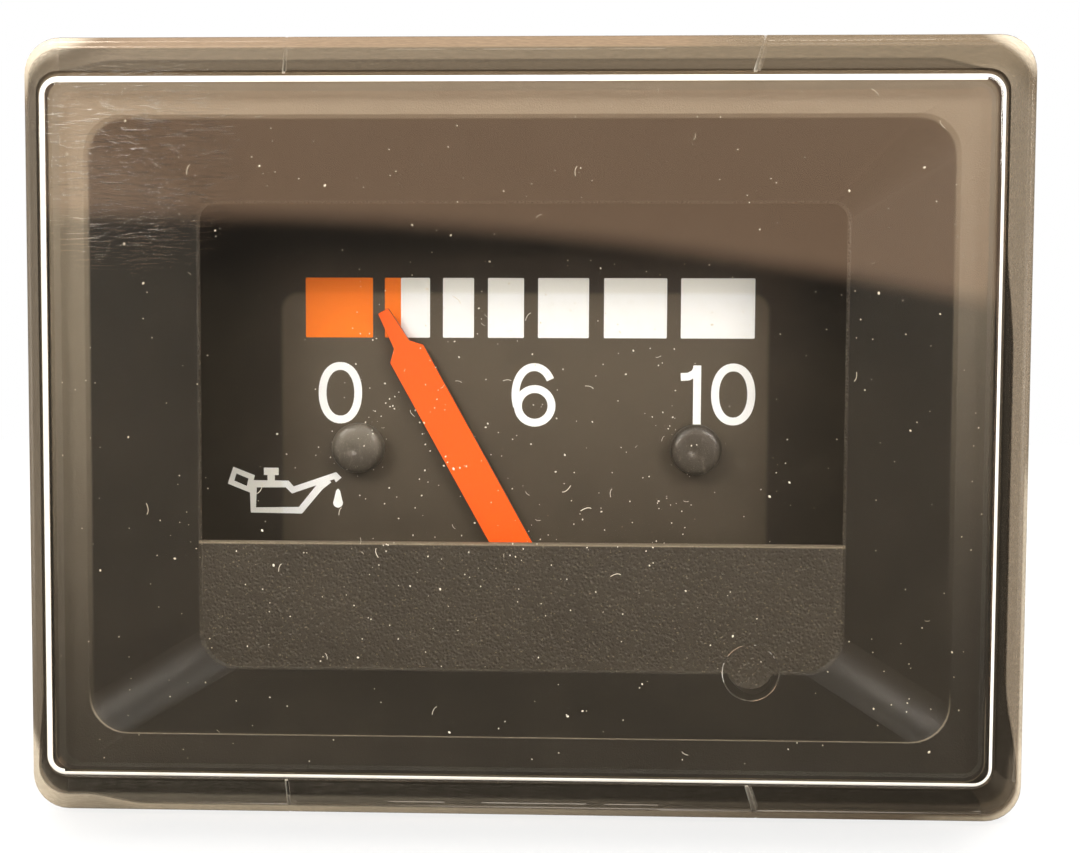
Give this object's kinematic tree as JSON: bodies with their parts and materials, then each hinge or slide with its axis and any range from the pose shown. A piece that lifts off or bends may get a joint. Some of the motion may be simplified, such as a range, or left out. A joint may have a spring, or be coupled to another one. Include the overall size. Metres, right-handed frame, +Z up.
{
  "type": "oil pressure gauge",
  "caption": "Rectangular dashboard oil pressure gauge with a clear flared cover, black funnel bezel, block scale and swinging pointer, two rear studs and blade terminals.",
  "frame": {"origin": "midway between the two rear fixing studs, on the face that the clamp seats on", "axes": "+X to the right across the dial, +Y into the gauge from the front face to the studs, +Z up the dial"},
  "size_m": [0.072, 0.057, 0.056],
  "materials": {
    "clear_cover": "polished clear plastic, faintly smoky",
    "bezel_black": "fine grained black moulding",
    "housing_black": "satin black moulding",
    "seal_foam": "closed foam",
    "dial_black": "gloss black paint with screen print",
    "peg_rubber": "black, slightly glossy",
    "pointer_orange": "bright orange paint",
    "hub_black": "satin",
    "brass": "turned",
    "steel": "zinc plated",
    "magnet": "sintered",
    "bobbin_nylon": "natural nylon",
    "copper_wire": "enamelled winding",
    "white_tray": "white moulding",
    "board": "paper laminate",
    "resistor": "cement coated",
    "tinned_brass": "tin plated blade",
    "holder_plastic": "satin moulding",
    "bulb_glass": "clear"
  },
  "bodies": {
    "case": {"clear_cover": "clear_cover", "dust_seal": "seal_foam", "bezel_mask": "bezel_black", "dial_plate": "dial_black", "stop_peg_left": "peg_rubber", "stop_peg_right": "peg_rubber", "front_bobbin": "bobbin_nylon", "rear_bobbin": "bobbin_nylon", "bearing_bushes": "brass", "inner_coil": "copper_wire", "outer_coil": "copper_wire", "shield_can": "steel", "coil_pins": "tinned_brass", "light_box": "white_tray", "circuit_board": "board", "ballast_resistor": "resistor", "rear_housing": "housing_black", "supply_terminal": "tinned_brass", "sender_terminal": "tinned_brass", "earth_terminal": "tinned_brass", "fixing_studs": "steel", "rear_screws": "steel"},
    "pointer": {"pointer_blade": "pointer_orange", "pointer_hub": "hub_black", "pointer_counterweight": "brass", "spindle": "steel", "rotor_magnet": "magnet"},
    "bulb": {"bulb_holder": "holder_plastic", "bulb_contacts": "tinned_brass", "bulb_glass": "bulb_glass"}
  },
  "joints": [
    {"name": "pointer_turn", "type": "hinge", "parent": "case", "child": "pointer", "pos_m": [0, -0.0285, -0.0106], "axis": [0, 1, 0], "range_deg": [-12.6, 70.8]},
    {"name": "bulb_holder_turn", "type": "hinge", "parent": "case", "child": "bulb", "pos_m": [0, -0.002, 0.0136], "axis": [0, 1, 0], "range_deg": [0, 60]}
  ]
}
